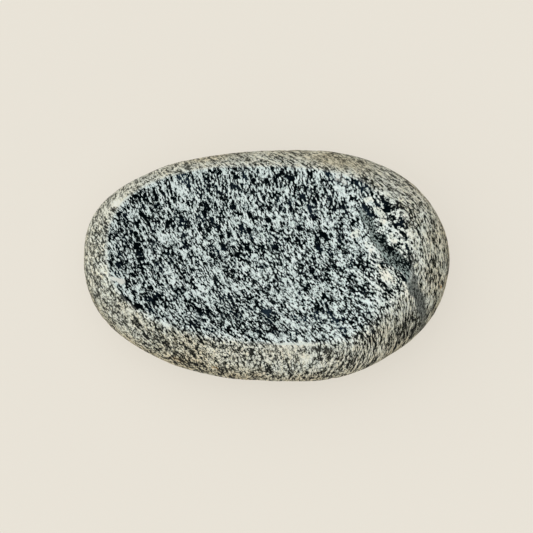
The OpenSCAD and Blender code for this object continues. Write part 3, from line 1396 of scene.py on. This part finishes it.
# ---- The studio ----
@dataclass(frozen=True)
class Studio:
    """Pale floor, soft light from all round, and the camera above the stone."""

    floor_half_size: float = 3.0
    floor_colour: Colour = (232, 226, 214)
    floor_glow: float = 0.75
    dome_low: Triple = (1.0, 0.99, 0.99)
    dome_overhead: Triple = (0.06, 0.08, 0.1)
    dome_rise: Span = (0.3, 0.65)
    lamp_energy: float = 2.55
    lamp_spread: float = 110.0
    lamp_side: Triple = (-0.35, 0.0, 1.0)
    camera_elevation: float = 78.0
    lens: float = 100.0
    sensor: float = 36.0
    frame_width: float = 160.7
    aim: Triple = (0.0, -0.4, 13.0)
    nearest: float = 0.01
    farthest: float = 20.0

    def build(self) -> None:
        """Builds the floor, the light and the camera, and sets the view transform."""
        self._lay_floor()
        self._light_dome()
        self._hang_lamp()
        self._set_camera()
        bpy.context.scene.view_settings.view_transform = "Standard"

    def _lay_floor(self) -> None:
        """Lays the floor that the stone stands on."""
        mesh = bpy.data.meshes.new("floor")
        bm = bmesh.new()
        bmesh.ops.create_grid(bm, x_segments=1, y_segments=1, size=self.floor_half_size)
        bm.to_mesh(mesh)
        bm.free()
        mesh.materials.append(self._paper())
        floor = bpy.data.objects.new("floor", mesh)
        bpy.context.scene.collection.objects.link(floor)

    def _paper(self) -> bpy.types.Material:
        """Makes the floor's pale paper, which shows its own colour but still takes a shadow.

        Returns:
            The new material.
        """
        made = bpy.data.materials.new("pale_floor")
        nodes = Wiring.fresh(made)
        colour = {"Color": (*linear(self.floor_colour), 1.0)}
        paper = nodes.node("BsdfDiffuse", colour)
        glow = nodes.node("Emission", colour)
        ray = nodes.node("LightPath").outputs
        seen = nodes.math("MAXIMUM", ray["Is Camera Ray"], ray["Is Glossy Ray"])
        seen = nodes.math("MAXIMUM", seen, ray["Is Transmission Ray"])
        share = nodes.math("MULTIPLY", seen, self.floor_glow)
        surface = nodes.node("MixShader", {0: share, 1: paper.outputs[0], 2: glow.outputs[0]})
        nodes.node("OutputMaterial", {"Surface": surface.outputs[0]})
        return made

    def _light_dome(self) -> None:
        """Lights the stone from a pale dome that is dim overhead."""
        world = bpy.data.worlds.new("studio")
        bpy.context.scene.world = world
        nodes = Wiring.fresh(world)
        upwards = nodes.axes(nodes.node("TexCoord").outputs["Generated"])["Z"]
        colour = nodes.mix(nodes.span(upwards, *self.dome_rise), self.dome_low, self.dome_overhead)
        light = nodes.node("Background", {"Color": colour, "Strength": 1.0})
        nodes.node("OutputWorld", {"Surface": light.outputs[0]})

    def _hang_lamp(self) -> None:
        """Hangs one large soft lamp above the stone."""
        lamp = bpy.data.lights.new("soft_lamp", "SUN")
        lamp.energy = self.lamp_energy
        lamp.angle = math.radians(self.lamp_spread)
        holder = bpy.data.objects.new("soft_lamp", lamp)
        holder.visible_glossy = False
        bpy.context.scene.collection.objects.link(holder)
        holder.rotation_mode = "QUATERNION"
        holder.rotation_quaternion = Vector(self.lamp_side).to_track_quat("Z", "Y")

    def _set_camera(self) -> None:
        """Sets the camera above and in front of the stone."""
        data = bpy.data.cameras.new("camera")
        data.lens = self.lens
        data.sensor_width = self.sensor
        data.clip_start = self.nearest
        data.clip_end = self.farthest
        camera = bpy.data.objects.new("camera", data)
        bpy.context.scene.collection.objects.link(camera)
        angle = math.radians(self.camera_elevation)
        back = Vector((0.0, -math.cos(angle), math.sin(angle)))
        distance = self.frame_width * self.lens / self.sensor
        camera.location = (Vector(self.aim) + back * distance) * MM
        camera.rotation_mode = "QUATERNION"
        camera.rotation_quaternion = back.to_track_quat("Z", "Y")
        bpy.context.scene.camera = camera


def main() -> None:
    """Loads the frame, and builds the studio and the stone."""
    logging.basicConfig(level=logging.INFO, format="%(name)s: %(message)s")
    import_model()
    Studio().build()
    piece = StonePiece().build()
    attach(piece, BODY)
    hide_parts(NODE)
    log.info("%s: %d faces", piece.name, len(piece.data.polygons))


if __name__ == "__main__":
    main()
